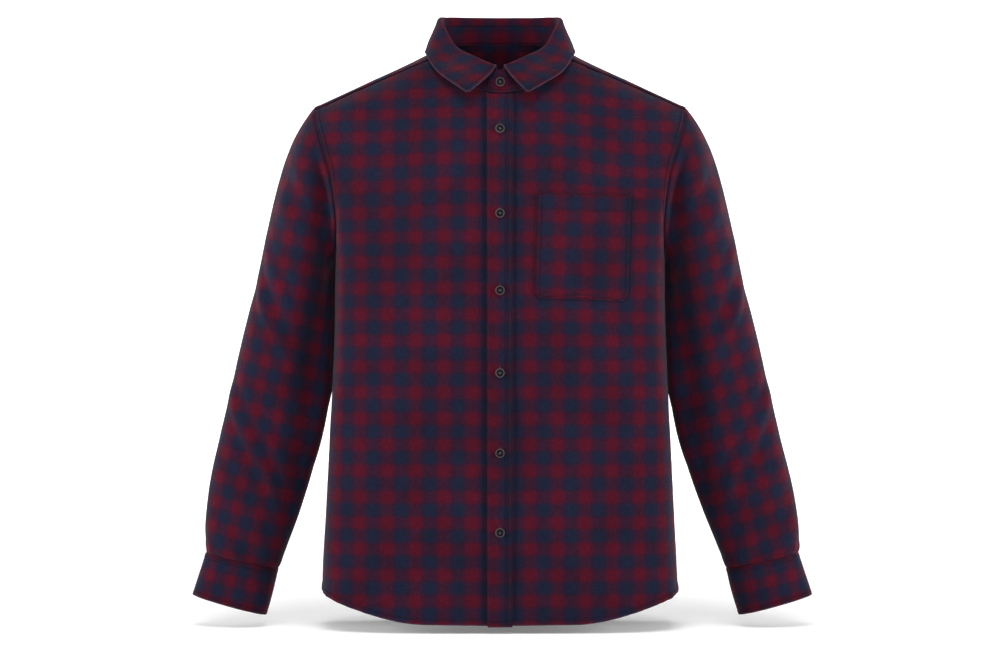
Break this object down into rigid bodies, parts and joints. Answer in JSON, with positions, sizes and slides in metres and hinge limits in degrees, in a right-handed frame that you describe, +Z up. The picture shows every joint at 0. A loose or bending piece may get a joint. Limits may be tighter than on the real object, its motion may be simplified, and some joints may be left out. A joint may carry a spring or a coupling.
{
  "type": "flannel shirt",
  "caption": "Men's long-sleeved flannel shirt in a two-colour check, filled out as worn, with a point collar, buttoned placket, chest patch pocket and buttoned cuffs.",
  "frame": {"origin": "centre of the neck's base, level with the top of the shoulders at the neck, where a wearer holds the shirt up", "axes": "+Z up along the wearer's spine, the front faces -Y, the wearer's left is +X"},
  "size_m": [0.7926, 0.1974, 0.7824],
  "materials": {
    "flannel_check": "brushed cotton twill in a dark red and navy check, matt with a soft nap",
    "shirt_button": "dark charcoal polyester button with a lighter rim, satin gloss"
  },
  "bodies": {
    "root": {"front_left": "flannel_check", "front_right": "flannel_check", "yoke": "flannel_check", "back": "flannel_check", "button_band": "flannel_check", "placket": "flannel_check", "pocket": "flannel_check", "sleeve_left": "flannel_check", "sleeve_right": "flannel_check", "sleeve_placket_left": "flannel_check", "sleeve_placket_right": "flannel_check", "cuff_left": "flannel_check", "cuff_right": "flannel_check", "collar_stand": "flannel_check", "collar": "flannel_check", "button_1": "shirt_button", "button_2": "shirt_button", "button_3": "shirt_button", "button_4": "shirt_button", "button_5": "shirt_button", "button_6": "shirt_button", "button_stand": "shirt_button", "button_cuff_left": "shirt_button", "button_cuff_right": "shirt_button"}
  },
  "joints": []
}
